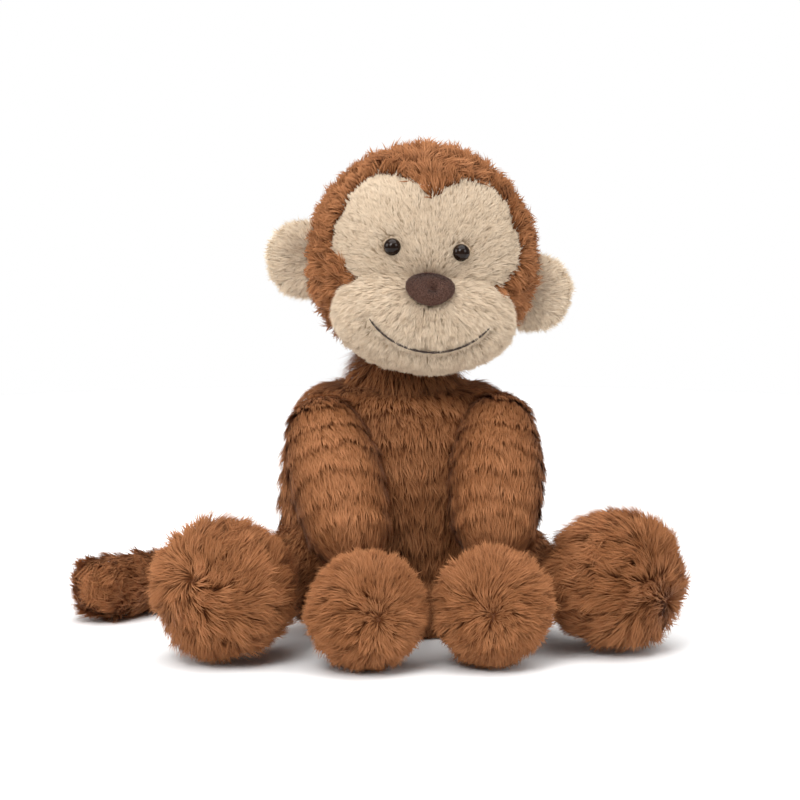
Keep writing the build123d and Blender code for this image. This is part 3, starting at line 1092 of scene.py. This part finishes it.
# ---- Nose ------------------------------------------------------------------------------------------------
# The nose is a small oval pad of dark velour, wide at the top, with a stitch pulled through its middle.
nose_size = Vector((0.0108, 0.0052, 0.0074))
nose_ball = ball(1.0, Matrix())
for vertex in nose_ball.verts:
    place = vertex.co
    place.x *= 1.0 + 0.16 * place.z
    dimple = math.exp(-((place.x - 0.1) / 0.22) ** 2 - ((place.z + 0.12) / 0.3) ** 2)
    if place.y < 0:
        place.y += 0.8 * dimple
bmesh.ops.scale(nose_ball, vec=nose_size, verts=nose_ball.verts)
nose_tip = muzzle_front(nose_spot.x, nose_spot.z, 0.0)
bmesh.ops.transform(
    nose_ball,
    matrix=Matrix.Translation(nose_tip) @ head_turn @ Matrix.Rotation(math.radians(-32), 4, "X"),
    verts=nose_ball.verts,
)
velour_backing = knit_material("velour_backing", (0.05, 0.027, 0.022), (0.09, 0.05, 0.042), loops=2000.0)
nose_pad = closed_shape("nose_pad", nose_ball, velour_backing)
brown_velour = pile_material(
    "brown_velour", (0.04, 0.016, 0.010), (0.10, 0.045, 0.030), (0.22, 0.12, 0.09), sheen=0.25
)
combed(nose_pad, nap=lambda p, n: along_surface(Vector((0, 0, -1)), n))
nose_fuzz = pile(
    nose_pad, "nose_fuzz", brown_velour, per_mm2=14, length=0.001, width=0.0003, lean=35, mess=25,
    clump=0.0009, gather=0.2, swirl=0.4, ribs=no_ribs, seed=101,
)
for piece in (nose_pad, nose_fuzz):
    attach(piece, "head")
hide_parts("nose")

# ---- Ears ------------------------------------------------------------------------------------------------
# An ear is a round flap of two layers of beige plush with a little stuffing, sewn into the side of the hood.
# Its front is dished, and its pile is longer at the rim.
ear_radius = 0.0145
ear_half_thickness = 0.0036
for side, hand in (("left", 1), ("right", -1)):
    root = joint_at[f"ear_{side}_flap"]
    ear_middle = root + sideways * hand * 0.0015
    flap = ball(1.0, Matrix(), 5)
    for vertex in flap.verts:
        place = vertex.co
        dish = max(0.0, 1 - (place.x ** 2 + place.z ** 2) / 0.55)
        if place.y < 0:
            place.y += 0.35 * dish
    bmesh.ops.scale(flap, vec=(ear_radius, ear_half_thickness, ear_radius), verts=flap.verts)
    bmesh.ops.transform(flap, matrix=Matrix.Translation(ear_middle) @ head_turn, verts=flap.verts)
    skin = closed_shape(f"ear_{side}_skin", flap, beige_backing)
    combed(
        skin,
        nap=lambda p, n: along_surface(p - root + sideways * hand * 0.006, n),
        grown=lambda p: (p - head_centre).length - (head_radius - 0.002),
        trim=lambda p: 0.75 + 0.35 * min(1.0, (p - ear_middle).length / ear_radius),
    )
    # The ear pile's lighter colours are painted light
    fur = pile(
        skin, f"ear_{side}_fur", ear_pile_painted_light, per_mm2=7.0, length=0.006, width=0.0004, lean=46, mess=20,
        clump=0.0026, gather=0.4, swirl=0.8, ribs=no_ribs, seed=111,
    )
    for piece in (skin, fur):
        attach(piece, f"ear_{side}")
    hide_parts(f"ear_{side}_front", f"ear_{side}_back")

# ---- Eyes ------------------------------------------------------------------------------------------------
# The eyes are polished plastic domes on stems, pushed through the mask and held by washers behind it.
eye_plastic = bpy.data.materials.new("glossy_eye")
eye_plastic.use_nodes = True
eye_tree = eye_plastic.node_tree
eye_shader = eye_tree.nodes["Principled BSDF"]
eye_place = put(eye_tree, "ShaderNodeTexCoord").outputs["Object"]
eye_swirl = out(put(eye_tree, "ShaderNodeTexNoise", {"Vector": eye_place, "Scale": 240.0, "Detail": 2.0}))
eye_colour = put(eye_tree, "ShaderNodeMix", {
    "Factor": eye_swirl, "A": (0.003, 0.002, 0.0015, 1), "B": (0.02, 0.009, 0.005, 1),
}, data_type="RGBA")
eye_tree.links.new(out(eye_colour, "Result"), eye_shader.inputs["Base Color"])
eye_shader.inputs["Roughness"].default_value = 0.07
eye_shader.inputs["Specular IOR Level"].default_value = 0.18

# ---- Inside ----------------------------------------------------------------------------------------------
# Inside the covers are loose polyester stuffing, a cloth pouch of beads in the seat, and the eyes' washers.
stuffing = knit_material("stuffing", (0.62, 0.62, 0.6), (0.86, 0.86, 0.84), loops=220.0)
pouch_cloth = knit_material("pouch_cloth", (0.6, 0.58, 0.54), (0.82, 0.8, 0.76), loops=1200.0)
bean_pellets = knit_material("bean_pellets", (0.6, 0.6, 0.58), (0.85, 0.85, 0.83), loops=260.0, roughness=0.4)
white_plastic = knit_material(
    "white_plastic", (0.74, 0.74, 0.72), (0.84, 0.84, 0.82), loops=900.0, roughness=0.35
)
finishes = {
    "glossy_eye": eye_plastic,
    "stuffing": stuffing,
    "pouch_cloth": pouch_cloth,
    "bean_pellets": bean_pellets,
    "white_plastic": white_plastic,
    "brown_pile": brown_backing,
    "beige_pile": beige_backing,
    "brown_velour": velour_backing,
    "dark_thread": dark_thread,
}
for part in frame["record"]["subparts"]:
    node = frame["nodes"][part["node"]]
    node.data.materials.clear()
    node.data.materials.append(finishes[part["material_slot"]])

bpy.data.objects.remove(strand)

low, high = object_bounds()
